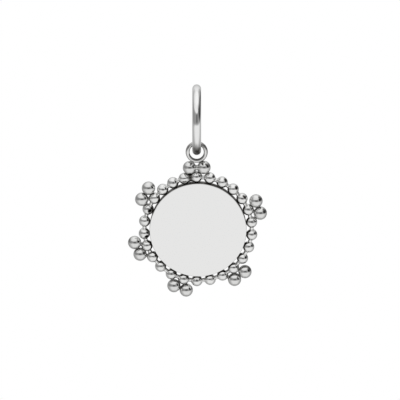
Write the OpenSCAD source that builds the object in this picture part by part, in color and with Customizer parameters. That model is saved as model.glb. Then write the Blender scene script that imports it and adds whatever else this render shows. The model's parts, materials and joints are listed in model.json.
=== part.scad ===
// Coin charm: a plain round plate framed by a beaded wire with pairs of balls on it, hung by a small
// soldered eye from a round wire bail. Sizes are in millimetres and angles in degrees.
// The charm hangs in the XZ plane with its face towards -Y. The origin is the inside top of the bail,
// where the chain bears.

/* [Coin plate] */
// Radius of the round plate
plate_r = 5.45; // [5.25:0.05:5.95]
// Thickness of the plate
plate_t = 1; // [0.8:0.1:1.1]
// Radius that softens the plate's two edges
plate_edge_r = 0.08; // [0.04:0.02:0.2]

/* [Beaded border] */
// Diameter of each bead of the border wire
bead_d = 1.27; // [1.21:0.02:1.33]
// Diameter of the border wire where it is waisted between two beads
waist_d = 0.45; // [0.35:0.05:0.55]
// Direction of the first bead, anticlockwise from +X
first_bead = 91.6; // [91:0.1:92]

/* [Ball pairs] */
// Diameter of each ball
ball_d = 1.5; // [1.5:0.02:1.56]

/* [Eye] */
// Inside diameter of the eye
eye_id = 1.56; // [1.51:0.05:1.86]
// Diameter of the eye's wire
eye_wire_d = 0.46; // [0.4:0.02:0.52]

/* [Bail] */
// Outside diameter of the bail
bail_od = 7.85; // [7.35:0.1:8.85]
// Diameter of the bail's wire
bail_wire_d = 0.98; // [0.8:0.02:1.1]

/* [Solder] */
// Diameter of the solder joint at each contact
solder_d = 0.4; // [0.36:0.02:0.42]
// Widest gap that the solder bridges
solder_reach = 0.12; // [0.12:0.01:0.14]

/* [Hidden] */
$fn = 48;

// The border wire was bent round the plate in stretches, and its beads crowd a little where it closes.
// Columns: number of beads in the stretch, angle from each of them to the next.
STRETCHES = [
    [8, 13.96],
    [8, 14.26],
    [6, 13.69],
    [4, 13.03],
];
function stretch_beads(row) = row[0];
function stretch_step(row) = row[1];

// The ball pairs, clockwise from the top, each seated on one bead of the border.
// Columns: the bead, how far the pair is turned past it, how far it leans, distance between its balls,
// how far they sink into the bead.
PAIRS = [
    [0, -0.4, 0, 1.6, 0.06],
    [5, -1, 1.5, 1.49, 0.02],
    [10, -0.6, 3, 1.49, 0.02],
    [14, -0.8, 4, 1.49, 0.02],
    [18, -0.2, -5.5, 1.49, 0.02],
    [22, 1.6, -3.8, 1.49, 0.02],
];
function pair_bead(row) = row[0];
function pair_shift(row) = row[1];
function pair_lean(row) = row[2];
function pair_pitch(row) = row[3];
function pair_sink(row) = row[4];
TOP_PAIR = PAIRS[0];

// How far other soldered pieces sink into each other, and how far a joining bar is rooted in each of them
bite = 0.02;
root = 0.15;

// Play of the bail inside the eye, at the place where the eye hangs on it
eye_play = 0.04;

bead_r = bead_d / 2;
ball_r = ball_d / 2;
solder_r = solder_d / 2;
border_r = plate_r + bead_r - bite;
eye_wire_r = eye_wire_d / 2;
eye_mean_r = eye_id / 2 + eye_wire_r;
bail_mean_r = (bail_od - bail_wire_d) / 2;
bail_inner_r = bail_od / 2 - bail_wire_d;

// Beads along the wire: the step after bead k, the turn from the first bead to bead k, and the number
// of beads, with the turns scaled so that the wire closes
function step_after(k, s = 0) =
    k < stretch_beads(STRETCHES[s]) ? stretch_step(STRETCHES[s]) : step_after(k - stretch_beads(STRETCHES[s]), s + 1);
function raw_turn(k) = k == 0 ? 0 : raw_turn(k - 1) + step_after(k - 1);
function total(list, i = 0) = i == len(list) ? 0 : list[i] + total(list, i + 1);
bead_count = total([for (row = STRETCHES) stretch_beads(row)]);
closing = 360 / raw_turn(bead_count);
function bead_angle(k) = first_bead - closing * raw_turn(k);

// Points of the coin's own plane, where x is right, y is up and z is towards the viewer. The balls of a
// pair rest on their bead, so their distance from the middle follows from their sizes.
function polar(r, a) = [r * cos(a), r * sin(a), 0];
function bead_at(k) = polar(border_r, bead_angle(k));
function leg(slant, half) = sqrt(slant * slant - half * half);
function pair_angle(row) = bead_angle(pair_bead(row)) + pair_shift(row);
function pair_middle(row) =
    polar(border_r + leg(ball_r + bead_r - pair_sink(row), pair_pitch(row) / 2), pair_angle(row));
function ball_at(row, side) =
    pair_middle(row) + polar(side * pair_pitch(row) / 2, pair_angle(row) + 90 - pair_lean(row));

// The eye stands straight above the top pair and rests on its balls
eye_rise = leg(ball_r + eye_mean_r + eye_wire_r - bite, pair_pitch(TOP_PAIR) / 2);
eye_at = pair_middle(TOP_PAIR) + [0, eye_rise, 0];

// Heights in the hanging frame: the bail's middle, and the eye's middle as it hangs on the bail
bail_z = -bail_inner_r;
eye_z = bail_z - bail_mean_r - (eye_id - bail_wire_d) / 2 + eye_play;

// A round bar from one point to another
module bar(from, to, r) {
    run = to - from;
    translate(from)
        rotate([0, acos(run.z / norm(run)), atan2(run.y, run.x)])
            cylinder(r = r, h = norm(run));
}

// A round bar that joins two balls and is rooted a little way into each
module link(from, from_r, to, to_r, r) {
    way = (to - from) / norm(to - from);
    bar(from + way * (from_r - root), to - way * (to_r - root), r);
}

// Solder between two balls, where they lie close enough for it
module solder(from, from_r, to, to_r) {
    if (norm(to - from) < from_r + to_r + solder_reach) link(from, from_r, to, to_r, solder_r);
}

// Closed ring of round wire
module ring(mean_r, wire_r) {
    rotate_extrude()
        translate([mean_r, 0])
            circle(r = wire_r);
}

// Flat disc with both edges softened
module plate() {
    flat_r = plate_r - plate_edge_r;
    side_h = plate_t / 2 - plate_edge_r;
    rotate_extrude() {
        translate([0, -plate_t / 2]) square([flat_r, plate_t]);
        translate([0, -side_h]) square([plate_r, 2 * side_h]);
        for (side = [-1, 1])
            translate([flat_r, side * side_h]) circle(r = plate_edge_r);
    }
}

// Beaded wire that runs round the plate, with each bead turned outwards and soldered to the plate
module border() {
    for (k = [0:bead_count - 1]) {
        angle = bead_angle(k);
        translate(bead_at(k)) rotate(angle) sphere(r = bead_r);
        link(bead_at(k), bead_r, bead_at((k + 1) % bead_count), bead_r, waist_d / 2);
        bar(polar(plate_r - root, angle), polar(border_r - bead_r + root, angle), solder_r);
    }
}

// Two balls side by side, soldered to each other and to the beads that they touch
module ball_pair(row) {
    for (side = [-1, 1]) {
        translate(ball_at(row, side)) rotate(pair_angle(row)) sphere(r = ball_r);
        for (k = [0:bead_count - 1])
            solder(ball_at(row, side), ball_r, bead_at(k), bead_r);
    }
    solder(ball_at(row, -1), ball_r, ball_at(row, 1), ball_r);
}

// Closed wire ring in the coin's plane, soldered to the two top balls
module eye() {
    translate(eye_at) ring(eye_mean_r, eye_wire_r);
    for (side = [-1, 1]) {
        ball = ball_at(TOP_PAIR, side);
        way = (ball - eye_at) / norm(ball - eye_at);
        bar(eye_at + way * eye_mean_r, ball - way * (ball_r - root), eye_wire_r - bite);
    }
}

// The whole soldered coin, hung by its eye from the bail
module coin() {
    color("silver")
        translate([0, 0, eye_z])
            rotate([90, 0, 0])
                translate(-eye_at) {
                    plate();
                    border();
                    for (row = PAIRS)
                        ball_pair(row);
                    eye();
                }
}

// Closed hoop of round wire that the chain runs through
module bail() {
    color("gainsboro")
        translate([0, 0, bail_z])
            rotate([0, 90, 0])
                ring(bail_mean_r, bail_wire_d / 2);
}

coin();
bail();
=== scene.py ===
"""Dresses the coin charm: a polished round plate in a beaded border, hung by its eye from a wire bail."""

import json
import logging
import math
from dataclasses import dataclass
from enum import Enum

import bpy
import numpy as np
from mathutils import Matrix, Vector


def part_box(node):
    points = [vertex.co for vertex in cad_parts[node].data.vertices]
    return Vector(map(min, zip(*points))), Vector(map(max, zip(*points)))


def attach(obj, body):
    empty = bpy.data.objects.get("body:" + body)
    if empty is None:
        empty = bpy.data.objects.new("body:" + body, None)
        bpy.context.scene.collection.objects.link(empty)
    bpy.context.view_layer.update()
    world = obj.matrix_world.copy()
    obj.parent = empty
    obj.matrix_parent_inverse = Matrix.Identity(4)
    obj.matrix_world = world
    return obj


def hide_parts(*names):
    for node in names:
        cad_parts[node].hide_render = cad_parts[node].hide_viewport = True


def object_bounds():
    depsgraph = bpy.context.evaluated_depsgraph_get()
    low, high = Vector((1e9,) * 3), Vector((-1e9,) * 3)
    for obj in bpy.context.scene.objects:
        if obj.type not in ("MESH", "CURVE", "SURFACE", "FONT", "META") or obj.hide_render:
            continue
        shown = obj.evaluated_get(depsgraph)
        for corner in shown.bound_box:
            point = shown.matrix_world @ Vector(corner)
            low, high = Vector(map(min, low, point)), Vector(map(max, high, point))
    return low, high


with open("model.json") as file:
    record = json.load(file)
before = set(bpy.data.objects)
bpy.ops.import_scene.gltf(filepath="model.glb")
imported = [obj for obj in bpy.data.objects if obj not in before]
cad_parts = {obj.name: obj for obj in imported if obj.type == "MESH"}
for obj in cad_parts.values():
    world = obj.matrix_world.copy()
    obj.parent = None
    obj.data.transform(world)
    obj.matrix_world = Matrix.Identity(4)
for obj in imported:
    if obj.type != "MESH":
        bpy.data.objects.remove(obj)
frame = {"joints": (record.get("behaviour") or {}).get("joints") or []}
CAD_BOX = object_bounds()

MM = 0.001
# The vertex value that darkens the metal: patina in places, and painted shade and painted dark
# reflections elsewhere.
PAINTED_SHADE_AND_PATINA = "painted_shade_and_patina"
WHITE = (1.0, 1.0, 1.0, 1.0)

# How finely the surfaces are divided. The rings of the plate's face are parts of its flat radius, and
# the points of a half bead end at a part of a quarter turn.
PLATE_SIDES, PLATE_EDGE_POINTS = 288, 9
FACE_RINGS = np.array([0, 0.5, 0.9, 0.985])
BORDER_SIDES, BEAD_POINTS, BEAD_END, WAIST_POINTS = 44, 16, 0.98, 5
BALL_SIDES = 72
EYE_RINGS, EYE_SIDES = 112, 36
BAIL_RINGS, BAIL_SIDES = 192, 56
SOLDER_SIDES, SOLDER_POINTS = 36, 9

Colour = tuple[float, float, float]
Socket = bpy.types.NodeSocket
log = logging.getLogger("coin_charm")


class Slot(Enum):
    """The record's material slots."""

    COIN = "coin_silver"
    BAIL = "bail_silver"


class Body(Enum):
    """The bodies that the pieces ride on."""

    COIN = "coin"
    BAIL = "bail"


@dataclass(frozen=True)
class Surface:
    """A closed surface as arrays, in millimetres.

    Attributes:
        points: one row of three coordinates for each vertex.
        quads: one row of four vertex numbers for each four-sided face.
        tris: one row of three vertex numbers for each face round a pole.
    """

    points: np.ndarray
    quads: np.ndarray
    tris: np.ndarray

    def triangles(self) -> np.ndarray:
        """Returns the vertex numbers of all faces, with each four-sided one cut in two."""
        return np.concatenate([self.tris, self.quads[:, [0, 1, 2]], self.quads[:, [0, 2, 3]]])

    def volume(self) -> float:
        """Adds up the pyramids from the origin to each triangle: a sixth of a dot (b cross c).

        Returns:
            The enclosed volume, which is negative where the faces point inwards.
        """
        corners = self.triangles()
        a, b, c = (self.points[corners[:, i]] for i in range(3))
        return float(np.einsum("ij,ij->i", a, np.cross(b, c)).sum() / 6)

    def outward(self) -> "Surface":
        """Turns the faces round where they point inwards.

        Returns:
            The same surface with its faces pointing outwards.
        """
        if self.volume() >= 0:
            return self
        return Surface(self.points, self.quads[:, ::-1], self.tris[:, ::-1])


def joined(surfaces: list[Surface]) -> Surface:
    """Puts several surfaces side by side in one.

    Args:
        surfaces: the surfaces, each closed in itself.

    Returns:
        One surface that holds them all.
    """
    starts = np.cumsum([0] + [len(s.points) for s in surfaces[:-1]])
    return Surface(
        np.concatenate([s.points for s in surfaces]),
        np.concatenate([s.quads + n for s, n in zip(surfaces, starts)]),
        np.concatenate([s.tris + n for s, n in zip(surfaces, starts)]),
    )


def ring_quads(rings: int, sides: int, closed: bool) -> np.ndarray:
    """Works out the faces of a grid of rings.

    Args:
        rings: how many rings there are.
        sides: how many vertices each ring has.
        closed: whether the last ring joins the first one.

    Returns:
        One row of four vertex numbers for each face.
    """
    row = np.arange(rings if closed else rings - 1)[:, None]
    col = np.arange(sides)[None, :]
    after, beside = (row + 1) % rings, (col + 1) % sides
    corners = [
        row * sides + col,
        row * sides + beside,
        after * sides + beside,
        after * sides + col,
    ]
    return np.stack([np.broadcast_to(c, (len(row), sides)) for c in corners], -1).reshape(-1, 4)


def swept(
    centres: np.ndarray, across: np.ndarray, up: np.ndarray, radii: np.ndarray, sides: int
) -> Surface:
    """Carries a circle of changing radius along a closed path.

    The point at place s of the path and angle t round it is the path's point at s, plus the radius at s
    times (cosine of t along across, plus sine of t along up).

    Args:
        centres: the path's points.
        across: a unit vector at each point, square to the path.
        up: another one, square to both.
        radii: the circle's radius at each point.
        sides: how many vertices go round the circle.

    Returns:
        The tube's surface.
    """
    turn = np.linspace(0, 2 * np.pi, sides, endpoint=False)[None, :, None]
    round_it = np.cos(turn) * across[:, None, :] + np.sin(turn) * up[:, None, :]
    points = centres[:, None, :] + radii[:, None, None] * round_it
    quads = ring_quads(len(centres), sides, closed=True)
    return Surface(points.reshape(-1, 3), quads, np.zeros((0, 3), int)).outward()


def revolved(
    start: np.ndarray, axis: np.ndarray, along: np.ndarray, radii: np.ndarray, sides: int
) -> Surface:
    """Turns a profile about an axis, closed by a pole at each end.

    The point at place s of the profile and angle t is the start, plus the way along the axis at s, plus
    the radius at s times (cosine of t along one square direction, plus sine of t along the other).

    Args:
        start: the point that the profile is measured from.
        axis: the axis's unit vector.
        along: the way along the axis of each point of the profile.
        radii: the distance from the axis of each point, zero at both ends.
        sides: how many vertices go round.

    Returns:
        The turned surface.
    """
    along_y = abs(axis[1]) > 0.9
    first = np.cross(axis, np.array([1.0, 0.0, 0.0] if along_y else [0.0, 1.0, 0.0]))
    first /= np.linalg.norm(first)
    second = np.cross(axis, first)
    turn = np.linspace(0, 2 * np.pi, sides, endpoint=False)[None, :, None]
    round_it = np.cos(turn) * first + np.sin(turn) * second
    spine = start + along[:, None] * axis
    rings = (spine[1:-1, None, :] + radii[1:-1, None, None] * round_it).reshape(-1, 3)
    points = np.concatenate([rings, spine[[0, -1]]])
    col = np.arange(sides)
    beside = (col + 1) % sides
    last = len(rings) - sides
    tris = np.concatenate([
        np.stack([np.full(sides, len(rings)), beside, col], -1),
        np.stack([np.full(sides, len(rings) + 1), last + col, last + beside], -1),
    ])
    return Surface(points, ring_quads(len(along) - 2, sides, closed=False), tris).outward()


def ball(centre: np.ndarray, radius: float) -> Surface:
    """Builds a ball: a half circle turned about the line through its middle, front to back.

    Args:
        centre: its middle.
        radius: its radius.

    Returns:
        The ball's surface.
    """
    tilt = np.linspace(0, np.pi, BALL_SIDES // 2 + 1)
    radii = radius * np.sin(tilt)
    radii[[0, -1]] = 0
    return revolved(centre, np.array([0.0, 1.0, 0.0]), -radius * np.cos(tilt), radii, BALL_SIDES)


def wire_ring(centre: np.ndarray, mean_r: float, wire_r: float, rings: int, sides: int) -> Surface:
    """Builds a closed ring of round wire in the coin's plane: a small circle carried round a larger one.

    Args:
        centre: the ring's middle.
        mean_r: radius of the wire's middle line.
        wire_r: the wire's own radius.
        rings: how many sections go round the ring.
        sides: how many vertices each section has.

    Returns:
        The ring's surface.
    """
    turn = np.linspace(0, 2 * np.pi, rings, endpoint=False)
    outward = np.stack([np.cos(turn), np.sin(turn), np.zeros_like(turn)], -1)
    front = np.broadcast_to([0.0, 0.0, 1.0], outward.shape)
    return swept(centre + mean_r * outward, outward, front, np.full(rings, wire_r), sides)


@dataclass(frozen=True)
class Contact:
    """Two round bodies that are soldered together.

    Attributes:
        one: the first body's middle.
        one_r: its radius.
        other: the second body's middle.
        other_r: its radius.
        throat: the solder's radius at its narrowest.
        shade_and_patina: how much patina and painted shade lie round the joint.
        cover: how far the solder stands past the line where the two bodies cut into each other.
    """

    one: np.ndarray
    one_r: float
    other: np.ndarray
    other_r: float
    throat: float
    # Patina and painted shade in the crease round the joint.
    shade_and_patina: float = 1.0
    cover: float = 0.03

    def gap(self) -> float:
        """Returns the free distance between the two bodies."""
        return float(np.linalg.norm(self.other - self.one)) - self.one_r - self.other_r

    def middle(self) -> np.ndarray:
        """Finds the middle of the joint.

        Returns:
            The point halfway between the two bodies' surfaces.
        """
        run = self.other - self.one
        length = np.linalg.norm(run)
        return self.one + run / length * (length + self.one_r - self.other_r) / 2

    def surface(self) -> Surface:
        """Builds the solder that runs into the crevice between the two bodies.

        Its profile is the arc of a small circle that touches both bodies and comes down to the throat.
        With the bodies' distance d and the small circle's radius q, that circle's middle lies at x along
        the axis, where x = a + b q, and at the height throat + q, which gives a quadratic for q.

        Returns:
            The solder's surface, with its ends inside the two bodies.
        """
        run = self.other - self.one
        d = float(np.linalg.norm(run))
        a = (d * d + self.one_r ** 2 - self.other_r ** 2) / (2 * d)
        b = (self.one_r - self.other_r) / d
        cut_r = math.sqrt(max(self.one_r ** 2 - a * a, 0))
        throat = max(self.throat, cut_r + self.cover)
        linear = 2 * (throat - self.one_r + a * b)
        rest = throat ** 2 - self.one_r ** 2 + a * a
        q = 2 * rest / (-linear + math.sqrt(linear ** 2 - 4 * b * b * rest))
        x, height = a + b * q, throat + q
        turn = np.linspace(math.atan2(-height, -x), math.atan2(-height, d - x), SOLDER_POINTS)
        along = x + q * np.cos(turn)
        radii = height + q * np.sin(turn)
        along = np.concatenate([along[:1], along, along[-1:]])
        radii = np.concatenate([[0], radii, [0]])
        return revolved(self.one, run / d, along, radii, SOLDER_SIDES)


@dataclass(frozen=True)
class Stretch:
    """A stretch of the border wire: its number of beads, and the angle from each of them to the next."""

    beads: int
    step: float


@dataclass(frozen=True)
class Seat:
    """A pair of balls on its bead.

    Attributes:
        bead: the bead that it is seated on.
        shift: how far it is turned past that bead, in degrees.
        lean: how far it leans, in degrees.
        pitch: the distance between its balls' middles.
        sink: how far the balls sink into the bead.
    """

    bead: int
    shift: float
    lean: float
    pitch: float
    sink: float


@dataclass(frozen=True)
class Layout:
    """Where everything lies in the coin's own plane, in millimetres and degrees.

    The plane's x runs to the viewer's right and its y up, from the plate's middle.

    Attributes:
        plate_r: the plate's radius.
        plate_t: its thickness.
        bead_d: diameter of each bead.
        ball_d: diameter of each ball.
        eye_id: the eye's inside diameter.
        eye_wire_d: diameter of its wire.
        bite: how far soldered pieces sink into each other.
        solder_d: diameter of most solder joints.
        solder_reach: the widest gap that the solder bridges.
        eye_solder_r: radius of the joints between the eye and the top pair.
        top_solder_r: radius of the joint between the two top balls.
        seam_solder_r: radius of the joint where the border wire closes.
        eye_shade_and_patina: patina and painted shade at the eye's joints.
        top_shade_and_patina: patina and painted shade between the two top balls.
        seam_shade_and_patina: patina and painted shade where the border wire closes.
        first_bead: direction of the first bead, anticlockwise from the right.
        stretches: the border wire's stretches, clockwise from the first bead.
        seats: the ball pairs, clockwise from the top.
    """

    plate_r: float = 5.45
    plate_t: float = 1.0
    bead_d: float = 1.27
    ball_d: float = 1.5
    eye_id: float = 1.56
    eye_wire_d: float = 0.46
    bite: float = 0.02
    solder_d: float = 0.4
    solder_reach: float = 0.12
    eye_solder_r: float = 0.14
    top_solder_r: float = 0.30
    seam_solder_r: float = 0.42
    # Patina and painted shade at the eye's joints, between the top balls and at the seam.
    eye_shade_and_patina: float = 0.6
    top_shade_and_patina: float = 0.5
    seam_shade_and_patina: float = 1.4
    first_bead: float = 91.6
    stretches: tuple[Stretch, ...] = (
        Stretch(8, 13.96),
        Stretch(8, 14.26),
        Stretch(6, 13.69),
        Stretch(4, 13.03),
    )
    seats: tuple[Seat, ...] = (
        Seat(0, -0.4, 0, 1.6, 0.06),
        Seat(5, -1, 1.5, 1.49, 0.02),
        Seat(10, -0.6, 3, 1.49, 0.02),
        Seat(14, -0.8, 4, 1.49, 0.02),
        Seat(18, -0.2, -5.5, 1.49, 0.02),
        Seat(22, 1.6, -3.8, 1.49, 0.02),
    )

    @property
    def border_r(self) -> float:
        """Radius of the circle that the bead centres lie on."""
        return self.plate_r + self.bead_d / 2 - self.bite

    @property
    def eye_mean_r(self) -> float:
        """Radius of the middle line of the eye's wire."""
        return (self.eye_id + self.eye_wire_d) / 2

    @staticmethod
    def polar(radius: float, angle: np.ndarray | float) -> np.ndarray:
        """Returns the point or points at a radius and angle, in degrees, with no height."""
        turn = np.radians(angle)
        return np.stack([radius * np.cos(turn), radius * np.sin(turn), np.zeros_like(turn)], -1)

    def bead_angles(self) -> np.ndarray:
        """Adds up the steps from bead to bead, scaled so that the wire closes.

        Returns:
            Each bead's direction, clockwise from the first.
        """
        steps = np.concatenate([np.full(s.beads, s.step) for s in self.stretches])
        turned = np.concatenate([[0], np.cumsum(steps)])
        return self.first_bead - turned[:-1] * 360 / turned[-1]

    def beads(self) -> np.ndarray:
        """Returns the beads' middles, one row each."""
        return self.polar(self.border_r, self.bead_angles())

    @staticmethod
    def rise(slant: float, pitch: float) -> float:
        """Returns the height of a triangle with two sides of the slant's length and the pitch as base."""
        return math.sqrt(slant ** 2 - (pitch / 2) ** 2)

    def middle(self, seat: Seat) -> np.ndarray:
        """Returns the point midway between the balls of a pair, which rest on their bead."""
        rise = self.rise((self.ball_d + self.bead_d) / 2 - seat.sink, seat.pitch)
        return self.polar(self.border_r + rise, self.bead_angles()[seat.bead] + seat.shift)

    def balls(self, seat: Seat) -> np.ndarray:
        """Places the balls of a pair.

        Args:
            seat: the pair.

        Returns:
            The two balls' middles, one row each.
        """
        angle = self.bead_angles()[seat.bead] + seat.shift + 90 - seat.lean
        half = self.polar(seat.pitch / 2, angle)
        return np.stack([self.middle(seat) - half, self.middle(seat) + half])

    def all_balls(self) -> np.ndarray:
        """Returns the middles of the balls of all pairs."""
        return np.concatenate([self.balls(s) for s in self.seats])

    def eye(self) -> np.ndarray:
        """Rests the eye on the balls of the top pair, straight above it.

        Returns:
            The eye's middle.
        """
        top = self.seats[0]
        rise = self.rise((self.ball_d + self.eye_id) / 2 + self.eye_wire_d - self.bite, top.pitch)
        return self.middle(top) + np.array([0, rise, 0])

    def contacts(self) -> list[Contact]:
        """Lists every soldered contact, where two bodies lie close enough for the solder to bridge them.

        The top pair carries the eye and has more solder, and so has the seam where the border closes.

        Returns:
            The contacts.
        """
        bead_r, ball_r, throat = self.bead_d / 2, self.ball_d / 2, self.solder_d / 2
        beads, balls = self.beads(), self.all_balls()
        found = [Contact(np.zeros(3), self.plate_r, bead, bead_r, throat) for bead in beads]
        found += [Contact(one, ball_r, bead, bead_r, throat) for one in balls for bead in beads]
        for seat in self.seats[1:]:
            one, other = self.balls(seat)
            found.append(Contact(one, ball_r, other, ball_r, throat))
        top, other_top = self.balls(self.seats[0])
        found.append(Contact(top, ball_r, other_top, ball_r, self.top_solder_r, self.top_shade_and_patina))
        first, last = beads[0], beads[-1]
        found.append(Contact(last, bead_r, first, bead_r, self.seam_solder_r, self.seam_shade_and_patina))
        for one in (top, other_top):
            way = (one - self.eye()) / np.linalg.norm(one - self.eye())
            wire = self.eye() + way * self.eye_mean_r
            wire_r = self.eye_wire_d / 2
            found.append(Contact(one, ball_r, wire, wire_r, self.eye_solder_r, self.eye_shade_and_patina))
        return [c for c in found if c.gap() < self.solder_reach]

    def hung(self, points: np.ndarray) -> np.ndarray:
        """Moves points from the coin's plane to the hanging charm.

        Args:
            points: x to the right, y up and z towards the viewer, in millimetres.

        Returns:
            The same points in the charm's frame, in millimetres, with the eye's middle on the hinge.
        """
        eye = self.eye()
        hinge = np.array(frame["joints"][0]["pos_m"]) / MM
        x, y, z = points.T
        return np.stack([x - eye[0], -z, y - eye[1] + hinge[2]], -1)


def hump(values: np.ndarray, middle: float, width: float) -> np.ndarray:
    """Returns 1 where the values are at the middle, falling off softly over the width on both sides."""
    return np.exp(-(((values - middle) / width) ** 2))


def slope(
    values: np.ndarray, none: float | np.ndarray, full: float | np.ndarray
) -> np.ndarray:
    """Returns 0 where the values are at or beyond one limit, and 1 at or beyond the other."""
    return np.clip((values - none) / (full - none), 0, 1)


@dataclass(frozen=True)
class ShadeAndPatina:
    """Darkening, partly patina and partly painted shade, that is full up to a limit and fades beyond it.

    Attributes:
        depth: how much there is, from none at 0 to full at 1 and beyond.
        limit: the distance or angle up to which it keeps that depth.
        fade: the distance or angle over which it fades beyond.
    """

    depth: float
    limit: float
    fade: float

    def at(self, away: np.ndarray) -> np.ndarray:
        """Returns the tarnish at each distance or angle."""
        return self.depth * hump(np.maximum(away, self.limit), self.limit, self.fade)


# Painted dark reflections: dark spots and arcs put on single beads and balls where they would reflect
# dark things.
@dataclass(frozen=True)
class PaintedDarkReflection:
    """A painted dark reflection: a dark arc or spot on the front of one bead or ball, as seen from the
    front and a little above.

    Attributes:
        number: the bead or ball, in the layout's order.
        start: where the arc begins, in degrees anticlockwise from the right.
        end: where it ends.
        out: how far it lies from the middle, as a part of the radius.
        width: half its width, as a part of the radius.
        depth: how dark it is painted.
        core: the part of the width in which it is full.
        reach: how far from the bead's middle its metal is looked for, as a part of the radius.
        seen_from: how far above the horizon it is seen from, in degrees.
    """

    number: int
    start: float
    end: float
    out: float
    width: float
    depth: float
    core: float = 0.4
    reach: float = 1.1
    seen_from: float = 15.0

    def shade_and_patina(self, points: np.ndarray, centres: np.ndarray, radius: float) -> np.ndarray:
        """Works out the painted dark reflection, by each point's distance from the arc as it is seen.

        Args:
            points: the points in the coin's plane.
            centres: the middles of the beads or balls.
            radius: their radius.

        Returns:
            One number for each point.
        """
        away = (points - centres[self.number]) / radius
        tilt = math.radians(self.seen_from)
        up = away[:, 1] * math.cos(tilt) - away[:, 2] * math.sin(tilt)
        front = away[:, 1] * math.sin(tilt) + away[:, 2] * math.cos(tilt)
        turn = np.degrees(np.arctan2(up, away[:, 0])) - (self.start + self.end) / 2
        past = np.maximum(np.abs((turn + 180) % 360 - 180) - (self.end - self.start) / 2, 0)
        off = np.hypot(np.hypot(away[:, 0], up) - self.out, self.out * np.radians(past))
        on_it = (front > 0) & (np.linalg.norm(away, axis=1) < self.reach)
        return np.where(on_it, self.depth * slope(off, self.width, self.core * self.width), 0)


@dataclass(frozen=True)
class EyePatch:
    """A soft patch of painted dark reflection on the eye.

    Attributes:
        depth: how much there is.
        direction: which way from the eye's middle it lies, in degrees anticlockwise from the right.
        spread: how far it reaches round the eye, in degrees.
        radius: how far from the eye's middle it lies.
        width: how far it reaches inwards and outwards.
    """

    depth: float
    direction: float
    spread: float
    radius: float
    width: float

    def shade_and_patina(self, turn: np.ndarray, radius: np.ndarray) -> np.ndarray:
        """Returns the patch's painted darkening at points given by their direction and distance."""
        place = hump(turn, self.direction, self.spread) * hump(radius, self.radius, self.width)
        return self.depth * place


@dataclass(frozen=True)
class Nodes:
    """The nodes of a material or of the world, while they are built.

    Attributes:
        tree: the node tree that they stand in.
    """

    tree: bpy.types.NodeTree

    @classmethod
    def of(cls, owner: bpy.types.Material | bpy.types.World) -> "Nodes":
        """Clears the nodes of a material or world.

        Args:
            owner: the material or world.

        Returns:
            Its node tree, to be filled.
        """
        owner.use_nodes = True
        owner.node_tree.nodes.clear()
        return cls(owner.node_tree)

    def add(
        self, kind: str, inputs: dict[str | int, object] | None = None, **settings: str | bool
    ) -> bpy.types.Node:
        """Adds a node.

        Args:
            kind: Blender's name for this kind of node.
            inputs: what goes into its inputs, which is another node's output or a plain value.
            settings: its other settings.

        Returns:
            The node.
        """
        node = self.tree.nodes.new(kind)
        for name, value in settings.items():
            setattr(node, name, value)
        for name, value in (inputs or {}).items():
            if isinstance(value, Socket):
                self.tree.links.new(value, node.inputs[name])
            else:
                node.inputs[name].default_value = value
        return node

    def calculated(self, operation: str, *values: Socket | float, clamp: bool = False) -> Socket:
        """Works out a number from others, held between 0 and 1 if it is clamped."""
        inputs = dict(enumerate(values))
        return self.add("ShaderNodeMath", inputs, operation=operation, use_clamp=clamp).outputs["Value"]

    def ranged(
        self, value: Socket, low: float, high: float, to_low: float = 0.0, to_high: float = 1.0
    ) -> Socket:
        """Maps a number smoothly, so that low becomes to_low and high becomes to_high."""
        ends = {"From Min": low, "From Max": high, "To Min": to_low, "To Max": to_high, "Value": value}
        return self.add("ShaderNodeMapRange", ends, interpolation_type="SMOOTHSTEP").outputs["Result"]

    def mixed(
        self, share: Socket, one: object, other: object, data_type: str = "RGBA", label: str = ""
    ) -> Socket:
        """Mixes two colours or numbers, where a share of 0 gives the first and 1 the second."""
        inputs = {"Factor": share, "A": one, "B": other}
        return self.add("ShaderNodeMix", inputs, data_type=data_type, label=label).outputs["Result"]


@dataclass(frozen=True)
class Grain:
    """Noise that runs through a piece and marks its metal.

    Attributes:
        scale: how fine it is, for each metre.
        detail: how many finer layers lie on it.
        stretch: how much finer it is along each of the turned axes.
        turn: how far it is turned about Y, and half as far about Z, in radians.
        none: the noise's value where it leaves no mark.
        full: its value where the mark is full.
    """

    scale: float
    detail: float
    stretch: tuple[float, float, float] = (1.0, 1.0, 1.0)
    turn: float = 0.0
    none: float = 0.0
    full: float = 1.0

    def value(self, nodes: Nodes) -> Socket:
        """Adds the noise to a material.

        Args:
            nodes: the material's nodes.

        Returns:
            The noise's value.
        """
        place = nodes.add("ShaderNodeMapping", {
            "Vector": nodes.add("ShaderNodeTexCoord").outputs["Object"],
            "Scale": self.stretch,
            "Rotation": (0.0, self.turn, self.turn / 2),
        }).outputs["Vector"]
        noise = {"Vector": place, "Scale": self.scale, "Detail": self.detail}
        return nodes.add("ShaderNodeTexNoise", noise).outputs["Fac"]

    def mark(self, nodes: Nodes, low: float, high: float) -> Socket:
        """Returns one number where the noise leaves no mark, and another where the mark is full."""
        return nodes.ranged(self.value(nodes), self.none, self.full, low, high)


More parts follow.
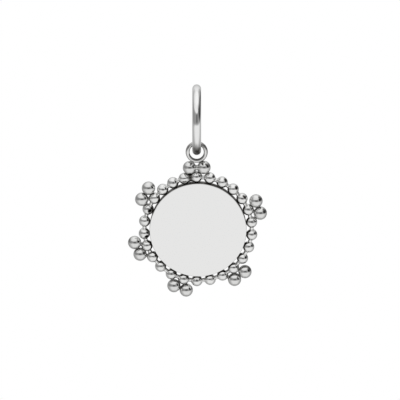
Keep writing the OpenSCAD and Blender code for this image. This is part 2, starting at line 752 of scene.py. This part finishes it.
@dataclass(frozen=True)
class Silver:
    """Polished silver, darkened in places by patina, by painted shade and by painted dark reflections.

    Attributes:
        name: the material's name.
        bright: how much light the clean metal reflects.
        shade_and_patina_colour: how much the metal reflects where patina and painted shade darken it.
        painted_black_spot: how much a painted black spot reflects, which stands for a black reflection.
        black_spot_begins: the darkening at which a painted black spot begins, far past full.
        black_spot_full: the darkening at which it is as dark as it gets.
        thinnest: how much of the darkening is left where it is patchy.
        edge: how much of its reflection the metal keeps where it is seen at a slant.
        roughness: roughness of the clean polish.
        haze: roughness that fine scratches add.
        smear: how many times less a smear adds.
        dull: roughness that full darkening adds.
        ripple: depth of the unevenness that breaks the reflections, in millimetres.
        dents: where its dents are, about 0.6 mm apart.
        patches: where the darkening is patchy.
        smears: where the smears are.
        scratches: where the scratches are, one grain for each way that they run.
    """

    name: str
    bright: Colour = (0.94, 0.94, 0.935)
    shade_and_patina_colour: Colour = (0.075, 0.07, 0.062)
    painted_black_spot: Colour = (0.004, 0.004, 0.004)
    black_spot_begins: float = 1.9
    black_spot_full: float = 2.3
    thinnest: float = 0.55
    edge: float = 0.8
    roughness: float = 0.045
    haze: float = 0.10
    smear: float = 3.0
    dull: float = 0.25
    ripple: float = 0.002
    dents: Grain = Grain(1 / (0.6 * MM), 1.0, turn=0.2)
    patches: Grain = Grain(900.0, 4.0, none=0.3, full=0.7)
    smears: Grain = Grain(350.0, 3.0, turn=0.6, none=0.45, full=0.75)
    scratches: tuple[Grain, Grain] = (
        Grain(900.0, 2.0, (1.0, 1.0, 22.0), turn=0.7, none=0.66, full=0.72),
        Grain(800.0, 2.0, (26.0, 1.0, 1.0), turn=-0.4, none=0.66, full=0.72),
    )

    def shared(self) -> bpy.types.Material:
        """Returns the material, which is built when the first piece asks for it."""
        known = bpy.data.materials.get(self.name)
        return self.material() if known is None else known

    def material(self) -> bpy.types.Material:
        """Builds the material, which reads Object coordinates and the vertex value of patina and painted
        shade.

        Returns:
            The material.
        """
        made = bpy.data.materials.new(self.name)
        nodes = Nodes.of(made)
        painted_shade_and_patina = nodes.add("ShaderNodeAttribute", attribute_name=PAINTED_SHADE_AND_PATINA).outputs["Fac"]
        patchy = self.patches.mark(nodes, self.thinnest, 1.0)
        shown_shade_and_patina = nodes.calculated("MULTIPLY", painted_shade_and_patina, patchy, clamp=True)
        shader = nodes.add("ShaderNodeBsdfPrincipled", {
            "Metallic": 1.0,
            "Specular Tint": (self.edge, self.edge, self.edge, 1.0),
            "Base Color": self.colour(nodes, painted_shade_and_patina, shown_shade_and_patina),
            "Roughness": self.wear(nodes, shown_shade_and_patina),
            "Normal": self.unevenness(nodes),
        })
        nodes.add("ShaderNodeOutputMaterial", {"Surface": shader.outputs["BSDF"]})
        return made

    def colour(self, nodes: Nodes, painted_shade_and_patina: Socket, shown_shade_and_patina: Socket) -> Socket:
        """Darkens the metal by patina and painted shade, and blackens it where a painted black spot
        stands for a black reflection.

        Args:
            nodes: the material's nodes.
            painted_shade_and_patina: how deep the patina and painted shade are.
            shown_shade_and_patina: how much of them shows, from 0 to 1.

        Returns:
            The metal's colour.
        """
        # The dark colour stands for patina and for painted shade; far past full it turns black, a painted
        # black reflection.
        colour = nodes.mixed(shown_shade_and_patina, (*self.bright, 1.0), (*self.shade_and_patina_colour, 1.0))
        deep = nodes.ranged(painted_shade_and_patina, self.black_spot_begins, self.black_spot_full)
        return nodes.mixed(deep, colour, (*self.painted_black_spot, 1.0))

    def wear(self, nodes: Nodes, shown_shade_and_patina: Socket) -> Socket:
        """Roughens the polish with smears, scratches, and where patina and painted shade lie.

        Args:
            nodes: the material's nodes.
            shown_shade_and_patina: how much patina and painted shade show, from 0 to 1.

        Returns:
            The metal's roughness.
        """
        smears = self.smears.mark(nodes, 0.0, self.haze / self.smear)
        scratches = (grain.mark(nodes, 0.0, self.haze) for grain in self.scratches)
        scratched = nodes.calculated("MAXIMUM", *scratches, clamp=True)
        worn = nodes.calculated("ADD", smears, scratched, clamp=True)
        dull = nodes.ranged(shown_shade_and_patina, 0.0, 1.0, 0.0, self.dull)
        added = nodes.calculated("ADD", worn, dull, clamp=True)
        return nodes.calculated("ADD", added, self.roughness)

    def unevenness(self, nodes: Nodes) -> Socket:
        """Bends the surface's normals by shallow dents.

        Args:
            nodes: the material's nodes.

        Returns:
            The bent normals.
        """
        bump = {"Strength": 1.0, "Distance": self.ripple * MM, "Height": self.dents.value(nodes)}
        return nodes.add("ShaderNodeBump", bump).outputs["Normal"]


def piece(
    name: str, surface: Surface, shade_and_patina: np.ndarray, body: Body, finish: Silver
) -> bpy.types.Object:
    """Makes a surface into a finished object that rides on its body.

    Args:
        name: the object's name.
        surface: its surface in the charm's frame, in millimetres.
        shade_and_patina: how much patina and painted shade each vertex has, from none at 0 to full at 1
            and beyond.
        body: the body that it rides on.
        finish: its material.

    Returns:
        The object, at the origin, with its place in its mesh.
    """
    mesh = bpy.data.meshes.new(name)
    sizes = np.concatenate([np.full(len(surface.quads), 4), np.full(len(surface.tris), 3)])
    corners = np.concatenate([surface.quads.ravel(), surface.tris.ravel()])
    mesh.vertices.add(len(surface.points))
    mesh.loops.add(len(corners))
    mesh.polygons.add(len(sizes))
    mesh.vertices.foreach_set("co", (surface.points * MM).astype(np.float32).ravel())
    mesh.loops.foreach_set("vertex_index", corners.astype(np.int32))
    mesh.polygons.foreach_set("loop_start", (np.cumsum(sizes) - sizes).astype(np.int32))
    mesh.polygons.foreach_set("use_smooth", np.ones(len(sizes), bool))
    mesh.update(calc_edges=True)
    mesh.validate()
    depth = mesh.attributes.new(PAINTED_SHADE_AND_PATINA, "FLOAT", "POINT")
    depth.data.foreach_set("value", shade_and_patina.astype(np.float32))
    mesh.materials.append(finish.shared())
    made = bpy.data.objects.new(name, mesh)
    bpy.context.scene.collection.objects.link(made)
    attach(made, body.value)
    return made


@dataclass
class Coin:
    """The soldered coin: its plate, beaded border, ball pairs, eye and solder.

    Attributes:
        layout: where everything lies.
        plate_finish: the plate's silver.
        bead_finish: the border's.
        ball_finish: the balls'.
        eye_finish: the eye's and the solder's.
        plate_edge_r: radius that softens the plate's two edges.
        waist_d: diameter of the border wire between two beads.
        neck_sharpness: how sharply a bead ends in its waist.
        joint_limit: how far from a thin joint its patina and painted shade are full.
        solder_limit: the same on the solder itself.
        joint_fade: how far it fades beyond that.
        plate_share: how much of the joints' darkening shows on the plate.
        eye_share: how much of it shows on the eye.
        solder_share: how much of it shows on the solder.
        wall_painted_shade_depth: painted shade on the plate's narrow side.
        lip: where that ends on the rounded edge, as a part of the edge's radius.
        upper_lip: how much further in it ends in the upper half.
        lip_heights: how high on the plate it begins and ends to move in, as the sine of the angle.
        lip_fade: the part of the edge over which it fades.
        painted_shade_and_patina: painted shade on the beads, by their distance from the plate.
        eye_inside: painted shade in the inside of the eye at the bottom.
        inside_limits: the distances from the eye's middle where that is none and full.
        bottom_limits: how far below the eye's middle it is none and full, as the sine of the angle.
        eye_rim: painted dark reflection along the eye's outer rim.
        right_rim: the patch that adds to it on the right.
        eye_patches: the painted dark reflections high on each side of the eye.
        bead_painted_reflections: painted dark reflections on single beads, by number, start, end, out,
            width and depth.
        ball_painted_reflections: painted dark reflections on single balls, in the same columns.
    """

    layout: Layout
    plate_finish: Silver
    bead_finish: Silver
    ball_finish: Silver
    eye_finish: Silver
    plate_edge_r: float = 0.08
    waist_d: float = 0.45
    neck_sharpness: float = 5.0
    joint_limit: float = 0.16
    solder_limit: float = 0.3
    joint_fade: float = 0.14
    plate_share: float = 0.5
    eye_share: float = 0.55
    solder_share: float = 0.7
    # Painted shade on the plate's narrow side, for the dark beads that it reflects.
    wall_painted_shade_depth: float = 1.4
    lip: float = 0.5
    upper_lip: float = 0.6
    lip_heights: tuple[float, float] = (0.05, 0.35)
    lip_fade: float = 0.3
    # Painted shade on the beads beside the plate, for the dark caps where they reflect its narrow side.
    painted_shade_and_patina: ShadeAndPatina = ShadeAndPatina(0.4, 0.06, 0.10)
    # Painted shade inside the eye at the bottom, and painted dark reflections on its rim and high on its
    # sides.
    eye_inside: float = 0.6
    inside_limits: tuple[float, float] = (0.96, 0.84)
    bottom_limits: tuple[float, float] = (-0.1, 0.6)
    eye_rim: float = 0.6
    right_rim: EyePatch = EyePatch(0.3, 0, 30, 1.2, 0.13)
    eye_patches: tuple[EyePatch, ...] = (
        EyePatch(0.95, 42, 30, 1.05, 0.15),
        EyePatch(0.75, 152, 22, 1.07, 0.12),
    )
    # Painted dark reflections on single beads.
    bead_painted_reflections: tuple[PaintedDarkReflection, ...] = (
        PaintedDarkReflection(1, 15, 30, 0.72, 0.20, 1.2),
        PaintedDarkReflection(2, 30, 45, 0.68, 0.28, 1.8),
        PaintedDarkReflection(3, 8, 38, 0.58, 0.25, 1.8),
        PaintedDarkReflection(4, 20, 62, 0.50, 0.22, 1.8),
        PaintedDarkReflection(13, 80, 80, 0.11, 0.18, 1.4),
        PaintedDarkReflection(13, 75, 110, 0.56, 0.14, 0.7),
        PaintedDarkReflection(17, 105, 130, 0.76, 0.18, 1.0),
        PaintedDarkReflection(18, 80, 110, 0.86, 0.16, 0.8),
        PaintedDarkReflection(19, -70, -42, 0.66, 0.24, 3.0),
        PaintedDarkReflection(20, 55, 75, 0.80, 0.16, 0.8),
        PaintedDarkReflection(21, -55, -40, 0.42, 0.36, 4.0),
        PaintedDarkReflection(23, -78, -55, 0.82, 0.18, 1.0),
        PaintedDarkReflection(24, -115, -95, 0.76, 0.16, 0.8),
        PaintedDarkReflection(25, -112, -60, 0.62, 0.18, 1.2),
    )
    # Painted dark reflections on single balls.
    ball_painted_reflections: tuple[PaintedDarkReflection, ...] = (
        PaintedDarkReflection(0, 28, 58, 0.55, 0.20, 1.2),
        PaintedDarkReflection(2, 12, 50, 0.68, 0.20, 1.2),
        PaintedDarkReflection(3, 22, 52, 0.70, 0.20, 1.2),
        PaintedDarkReflection(4, 50, 160, 0.82, 0.20, 0.9),
        PaintedDarkReflection(5, 35, 155, 0.82, 0.22, 1.0),
        PaintedDarkReflection(5, 30, 45, 0.70, 0.25, 0.7),
        PaintedDarkReflection(6, 5, 125, 0.86, 0.18, 0.9),
        PaintedDarkReflection(7, 80, 158, 0.86, 0.20, 1.0),
        PaintedDarkReflection(8, 140, 170, 0.85, 0.18, 0.6),
        PaintedDarkReflection(9, 15, 150, 0.86, 0.16, 0.8),
    )

    def plate(self) -> Surface:
        """Builds the plate: a rectangle with two rounded corners turned about the coin's axis.

        Returns:
            The plate's surface.
        """
        edge, half = self.plate_edge_r, self.layout.plate_t / 2
        flat_r, side_h = self.layout.plate_r - edge, half - edge
        turn = np.linspace(0, np.pi / 2, PLATE_EDGE_POINTS)
        face = FACE_RINGS * flat_r
        front_along = np.concatenate([np.full(len(face), half), side_h + edge * np.cos(turn)])
        front_radii = np.concatenate([face, flat_r + edge * np.sin(turn)])
        along = np.concatenate([front_along, -front_along[::-1]])
        radii = np.concatenate([front_radii, front_radii[::-1]])
        return revolved(np.zeros(3), np.array([0.0, 0.0, 1.0]), along, radii, PLATE_SIDES)

    def border(self) -> Surface:
        """Builds the beaded wire as one tube round the plate.

        At the angle u from the nearest bead, the tube's middle lies at the border's radius times the
        cosine of u, and its radius is the p-norm of the ball's height there and the waist's radius,
        which leaves round beads with a soft fillet into each waist. The angles of a half bead stand
        closer together towards its waist, and stop just short of the ball's end.

        Returns:
            The wire's surface.
        """
        ring_r, bead_r, waist_r = self.layout.border_r, self.layout.bead_d / 2, self.waist_d / 2
        angles = np.radians(self.layout.bead_angles())
        after = (angles - np.roll(angles, -1)) % (2 * np.pi) / 2
        before = np.roll(after, 1)
        quarter = np.linspace(0, BEAD_END * np.pi / 2, BEAD_POINTS)
        on_bead = np.arcsin(bead_r / ring_r * np.sin(quarter))
        on_waist = np.linspace(0, 1, WAIST_POINTS)[1:]

        def half_bead(reach: np.ndarray) -> np.ndarray:
            """Returns the angles from each bead's middle to that of its waist, one row a bead."""
            waist = on_bead[-1] + (reach[:, None] - on_bead[-1]) * on_waist
            return np.concatenate([np.tile(on_bead, (len(reach), 1)), waist], 1)

        away = np.concatenate([-half_bead(before)[:, :0:-1], half_bead(after)[:, :-1]], 1)
        turned = (angles[:, None] - away).ravel()
        away = np.abs(away).ravel()
        height = np.sqrt(np.maximum(bead_r ** 2 - (ring_r * np.sin(away)) ** 2, 0))
        power = self.neck_sharpness
        radii = (height ** power + waist_r ** power) ** (1 / power)
        outward = np.stack([np.cos(turned), np.sin(turned), np.zeros_like(turned)], -1)
        front = np.broadcast_to([0.0, 0.0, 1.0], outward.shape)
        centres = outward * (ring_r * np.cos(away))[:, None]
        return swept(centres, outward, front, radii, BORDER_SIDES)

    def ball_pairs(self) -> Surface:
        """Builds the balls of all pairs."""
        return joined([ball(centre, self.layout.ball_d / 2) for centre in self.layout.all_balls()])

    def eye(self) -> Surface:
        """Builds the eye."""
        wire_r = self.layout.eye_wire_d / 2
        return wire_ring(self.layout.eye(), self.layout.eye_mean_r, wire_r, EYE_RINGS, EYE_SIDES)

    def solder(self) -> Surface:
        """Builds the solder of every contact."""
        return joined([c.surface() for c in self.layout.contacts()])

    def joint_shade_and_patina(self, points: np.ndarray, limit: float) -> np.ndarray:
        """Works out the patina and painted shade round the soldered joints, by each point's distance from
        them.

        Args:
            points: the points in the coin's plane, one row each.
            limit: how far it is full, where the joint is no thicker than that.

        Returns:
            One number for each point.
        """
        shade_and_patina = np.zeros(len(points))
        for joint in self.layout.contacts():
            # Patina and painted shade round each joint, full near it and fading beyond.
            around = ShadeAndPatina(joint.shade_and_patina, max(limit, joint.throat), self.joint_fade)
            shade_and_patina = np.maximum(shade_and_patina, around.at(np.linalg.norm(points - joint.middle(), axis=1)))
        return shade_and_patina

    def wall_painted_shade(self, points: np.ndarray) -> np.ndarray:
        """Works out the painted shade on the plate's narrow side: a dark line that stands for the dark,
        shadowed beads it reflects.

        In the upper half the painted shade also lies on the rounded edge, under the ball pairs and the
        eye's solder.

        Args:
            points: the plate's points in the coin's plane.

        Returns:
            One number for each point.
        """
        # A painted shade line on the plate's narrow side, wider in the upper half under the balls and the
        # eye.
        radius = np.hypot(points[:, 0], points[:, 1])
        # The plate's middle has no direction, so the radius counts as 1 mm there
        above = slope(points[:, 1] / np.maximum(radius, 1), *self.lip_heights)
        lip = self.lip + self.upper_lip * above
        inside = (self.layout.plate_r - radius) / self.plate_edge_r
        return self.wall_painted_shade_depth * slope(inside, lip, lip - self.lip_fade)

    def plate_shade_and_patina(self, points: np.ndarray) -> np.ndarray:
        """Returns the plate's darkening: patina and painted shade at the joints, and painted shade on its
        narrow side.
        """
        joints = self.plate_share * self.joint_shade_and_patina(points, self.joint_limit)
        return np.maximum(joints, self.wall_painted_shade(points))

    def bead_shade_and_patina(self, points: np.ndarray) -> np.ndarray:
        """Works out the beads' darkening: patina and painted shade at the joints, painted shade beside
        the plate and painted dark reflections.

        Args:
            points: the border's points in the coin's plane.

        Returns:
            One number for each point.
        """
        off_wall = np.maximum(np.hypot(points[:, 0], points[:, 1]) - self.layout.plate_r, 0)
        off_face = np.maximum(np.abs(points[:, 2]) - self.layout.plate_t / 2, 0)
        beads, radius = self.layout.beads(), self.layout.bead_d / 2
        # Patina and painted shade at the joints, painted shade beside the plate, and painted dark
        # reflections.
        return np.maximum.reduce([
            self.joint_shade_and_patina(points, self.joint_limit),
            self.painted_shade_and_patina.at(np.hypot(off_wall, off_face)),
            *(painted_reflection.shade_and_patina(points, beads, radius) for painted_reflection in self.bead_painted_reflections),
        ])

    def ball_shade_and_patina(self, points: np.ndarray) -> np.ndarray:
        """Works out the balls' darkening: patina and painted shade at the joints, and painted dark
        reflections.

        Args:
            points: the balls' points in the coin's plane.

        Returns:
            One number for each point.
        """
        balls, radius = self.layout.all_balls(), self.layout.ball_d / 2
        # Painted dark reflections on single balls.
        painted_dark_reflections = (painted_reflection.shade_and_patina(points, balls, radius) for painted_reflection in self.ball_painted_reflections)
        return np.maximum.reduce([self.joint_shade_and_patina(points, self.joint_limit), *painted_dark_reflections])

    def eye_shade_and_patina(self, points: np.ndarray) -> np.ndarray:
        """Works out the eye's darkening.

        It is patina and painted shade at the joints, painted shade in the inside at the bottom, and
        painted dark reflections in the patches and along the outer rim.

        Args:
            points: the eye's points in the coin's plane.

        Returns:
            One number for each point.
        """
        away = points - self.layout.eye()
        radius = np.hypot(away[:, 0], away[:, 1])
        turn = np.degrees(np.arctan2(away[:, 1], away[:, 0]))
        bottom = slope(-away[:, 1] / radius, *self.bottom_limits)
        right = self.right_rim
        # Patina and painted shade at the joints, painted shade inside at the bottom, painted dark
        # reflections in the patches and on the rim.
        return np.maximum.reduce([
            self.eye_share * self.joint_shade_and_patina(points, self.joint_limit),
            self.eye_inside * slope(radius, *self.inside_limits) * bottom,
            *(patch.shade_and_patina(turn, radius) for patch in self.eye_patches),
            self.eye_rim * hump(radius, right.radius, right.width) + right.shade_and_patina(turn, radius),
        ])

    def solder_shade_and_patina(self, points: np.ndarray) -> np.ndarray:
        """Returns the solder's patina and painted shade."""
        return self.solder_share * self.joint_shade_and_patina(points, self.solder_limit)

    def build(self) -> list[bpy.types.Object]:
        """Makes the coin's pieces and lets them stand for the solid coin.

        Returns:
            The pieces.
        """
        pieces = []
        for name, shape, shade_and_patina, finish in (
            ("coin_plate", self.plate(), self.plate_shade_and_patina, self.plate_finish),
            ("beaded_border", self.border(), self.bead_shade_and_patina, self.bead_finish),
            ("ball_pairs", self.ball_pairs(), self.ball_shade_and_patina, self.ball_finish),
            ("eye", self.eye(), self.eye_shade_and_patina, self.eye_finish),
            ("solder_joints", self.solder(), self.solder_shade_and_patina, self.eye_finish),
        ):
            hung = Surface(self.layout.hung(shape.points), shape.quads, shape.tris)
            made = piece(name, hung, shade_and_patina(shape.points), Body.COIN, finish)
            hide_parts("coin")
            pieces.append(made)
        return pieces


@dataclass
class Bail:
    """The wire hoop that the chain runs through, sized by its solid in the frame.

    Attributes:
        finish: its silver.
        mark: the painted shade where the eye hangs, partly patina, by the degrees up the hoop from its
            bottom.
        worn: how much lighter it is on the wire's outermost sides.
        worn_from: where these begin, as a part of the wire's radius.
    """

    finish: Silver
    # Painted shade and dark reflection where the eye hangs, partly patina, lighter on the wire's
    # outermost sides.
    mark: ShadeAndPatina = ShadeAndPatina(1.2, 40, 14)
    worn: float = 0.6
    worn_from: float = 0.82

    def shade_and_patina(self, away: np.ndarray, wire_r: float) -> np.ndarray:
        """Works out the painted shade where the eye hangs, partly patina, which is lighter on the hoop's
        two sides.

        Args:
            away: the hoop's points, measured from its middle.
            wire_r: the wire's radius.

        Returns:
            One number for each point.
        """
        turn = np.degrees(np.arctan2(np.abs(away[:, 1]), -away[:, 2]))
        sides = slope(np.abs(away[:, 0]) / wire_r, self.worn_from, 1.0)
        # Painted shade where the eye hangs, partly patina, lighter on the hoop's two sides.
        return self.mark.at(turn) * (1 - self.worn * sides)

    def build(self) -> list[bpy.types.Object]:
        """Makes the hoop and lets it stand for the solid one.

        Returns:
            The hoop, as the one piece.
        """
        low, high = (np.array(corner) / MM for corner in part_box("bail"))
        wire_r = (high[0] - low[0]) / 2
        mean_r = (high[1] - low[1]) / 2 - wire_r
        flat = wire_ring(np.zeros(3), mean_r, wire_r, BAIL_RINGS, BAIL_SIDES)
        away = flat.points[:, [2, 0, 1]]
        shape = Surface(away + (low + high) / 2, flat.quads, flat.tris)
        made = piece("bail_hoop", shape, self.shade_and_patina(away, wire_r), Body.BAIL, self.finish)
        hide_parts("bail")
        return [made]


@dataclass(frozen=True)
class Patch:
    """A soft-edged patch of the studio as the metal sees it, in degrees.

    Attributes:
        name: what it stands for.
        azimuth: the direction of its middle, 0 where the camera stands and growing to the right.
        half_width: how far it reaches to both sides.
        side_fade: how softly it ends there.
        elevation: how high its middle lies.
        half_height: how far it reaches above and below.
        edge_fade: how softly it ends there.
        brightness: how bright it is.
    """

    name: str
    azimuth: float
    half_width: float
    side_fade: float
    elevation: float
    half_height: float
    edge_fade: float
    brightness: float


@dataclass(frozen=True)
class Studio:
    """The studio: soft light all round, and a plain pale floor.

    Attributes:
        floor_drop: how far below the charm the floor lies, in millimetres.
        floor_size: its width, in millimetres.
        ground: brightness where no patch lies.
        patches: the patches, each over those before it.
    """

    floor_drop: float = 60.0
    floor_size: float = 4000.0
    ground: float = 0.45
    patches: tuple[Patch, ...] = (
        Patch("table", 10, 75, 35, -49, 45, 5, 0.84),
        Patch("table at the back", 180, 45, 20, -30, 30, 8, 0.80),
        Patch("under the charm", 0, 180, 1, -90, 16, 10, 0.50),
        Patch("ceiling", 0, 180, 1, 80, 30, 8, 0.95),
        Patch("backdrop", 180, 32, 14, 30, 32, 6, 0.88),
        Patch("softbox", -20, 65, 25, 46, 14, 5, 0.85),
        Patch("side wall", -110, 30, 15, 46, 14, 5, 0.75),
        Patch("horizon", -10, 60, 15, 14, 17, 6, 0.32),
        Patch("horizon on the left", -85, 35, 12, 8, 15, 7, 0.28),
        Patch("horizon in front", 5, 22, 12, 16, 14, 5, 0.15),
        Patch("flag", 92, 32, 10, 17, 19, 6, 0.12),
        Patch("dark card", 71, 15, 4, 22, 14, 5, 0.0),
        Patch("card at the back", 140, 12, 5, 6, 12, 5, 0.05),
    )

    @staticmethod
    def within(nodes: Nodes, off: Socket, half: float, fade: float) -> Socket:
        """Returns 1 where an angle is under half and 0 where it is over it, with a soft step between."""
        size = nodes.calculated("ABSOLUTE", off)
        return nodes.ranged(size, math.radians(half + fade), math.radians(half - fade))

    def light(self) -> None:
        """Builds the world: the patches for what the metal reflects, and plain white for the camera."""
        world = bpy.data.worlds.new("studio")
        bpy.context.scene.world = world
        nodes = Nodes.of(world)
        way = nodes.add("ShaderNodeTexCoord").outputs["Generated"]
        x, y, z = nodes.add("ShaderNodeSeparateXYZ", {"Vector": way}).outputs
        azimuth = nodes.calculated("ARCTAN2", x, nodes.calculated("MULTIPLY", y, -1.0))
        elevation = nodes.calculated("ARCSINE", z)

        shown: Socket | float = self.ground
        for patch in self.patches:
            sideways = nodes.calculated("SUBTRACT", azimuth, math.radians(patch.azimuth))
            sideways = nodes.calculated("WRAP", sideways, math.pi, -math.pi)
            height = nodes.calculated("SUBTRACT", elevation, math.radians(patch.elevation))
            inside = nodes.calculated(
                "MULTIPLY",
                self.within(nodes, sideways, patch.half_width, patch.side_fade),
                self.within(nodes, height, patch.half_height, patch.edge_fade),
            )
            shown = nodes.mixed(inside, shown, patch.brightness, "FLOAT", patch.name)

        reflected = nodes.add("ShaderNodeBackground", {"Color": shown})
        white = nodes.add("ShaderNodeBackground", {"Color": WHITE})
        both = nodes.add("ShaderNodeMixShader", {
            "Fac": nodes.add("ShaderNodeLightPath").outputs["Is Camera Ray"],
            1: reflected.outputs["Background"],
            2: white.outputs["Background"],
        })
        nodes.add("ShaderNodeOutputWorld", {"Surface": both.outputs["Shader"]})

    def floor(self) -> None:
        """Lays the plain white floor well below the charm, lit from within like a light table."""
        half, z = self.floor_size * MM / 2, CAD_BOX[0].z - self.floor_drop * MM
        corners = [(-half, -half, z), (half, -half, z), (half, half, z), (-half, half, z)]
        mesh = bpy.data.meshes.new("floor")
        mesh.from_pydata(corners, [], [(0, 1, 2, 3)])
        glow = bpy.data.materials.new("light_table")
        nodes = Nodes.of(glow)
        lamp = nodes.add("ShaderNodeEmission", {"Color": WHITE})
        nodes.add("ShaderNodeOutputMaterial", {"Surface": lamp.outputs["Emission"]})
        mesh.materials.append(glow)
        made = bpy.data.objects.new("floor", mesh)
        made.visible_glossy = False
        bpy.context.scene.collection.objects.link(made)


@dataclass(frozen=True)
class Camera:
    """The camera as the photo has it: straight in front and a little above, with a long lens.

    Attributes:
        elevation: how far above the horizon it stands, in degrees.
        lens: focal length in millimetres, on a sensor of the width below.
        sensor: width of the sensor.
        width: how much of the charm's plane the picture takes in, in millimetres.
        right: how far to the right of the plate's middle it aims, in millimetres.
        above: how far above the plate's middle it aims, along the picture's height.
        nearest: the nearest distance that it sees, in metres.
        farthest: the farthest one.
    """

    elevation: float = 14.9
    lens: float = 200.0
    sensor: float = 36.0
    width: float = 45.0
    right: float = 0.218
    above: float = 3.265
    nearest: float = 0.01
    farthest: float = 20.0

    def build(self, layout: Layout) -> None:
        """Stands the camera up and makes it the scene's.

        Args:
            layout: the coin's layout, which says where the plate's middle is.
        """
        tilt = math.radians(self.elevation)
        middle = Vector(layout.hung(np.zeros((1, 3)))[0] * MM)
        up = Vector((0, math.sin(tilt), math.cos(tilt)))
        back = Vector((0, -math.cos(tilt), math.sin(tilt)))
        aim = middle + Vector((self.right * MM, 0, 0)) + up * self.above * MM
        data = bpy.data.cameras.new("camera")
        data.lens, data.sensor_width = self.lens, self.sensor
        data.clip_start, data.clip_end = self.nearest, self.farthest
        made = bpy.data.objects.new("camera", data)
        made.location = aim + back * (self.width * MM * self.lens / self.sensor)
        made.rotation_euler = (-back).to_track_quat("-Z", "Y").to_euler()
        bpy.context.scene.collection.objects.link(made)
        bpy.context.scene.camera = made


def main() -> None:
    """Builds the charm and its studio, and logs each piece's faces and material."""
    logging.basicConfig(level=logging.INFO, format="%(name)s %(message)s")
    bpy.context.scene.view_settings.view_transform = "Standard"
    layout = Layout()
    bead_silver, ball_silver, wire_silver = (0.91, 0.91, 0.90), (0.82, 0.82, 0.81), (0.90, 0.90, 0.89)
    coin = Coin(
        layout,
        plate_finish=Silver("mirror_silver_plate", edge=0.45, haze=0.06),
        bead_finish=Silver("polished_silver_beads", bead_silver, edge=0.2, roughness=0.07, ripple=0.07),
        ball_finish=Silver("polished_silver_balls", ball_silver, edge=0.2, roughness=0.09, ripple=0.02),
        eye_finish=Silver("soldered_silver_wire", wire_silver, roughness=0.07),
    )
    bail = Bail(Silver("polished_silver_wire", edge=0.6))
    for made in coin.build() + bail.build():
        log.info("%s: %d faces on %s", made.name, len(made.data.polygons), made.material_slots[0].name)
    studio = Studio()
    studio.light()
    studio.floor()
    Camera().build(layout)


if __name__ == "__main__":
    main()
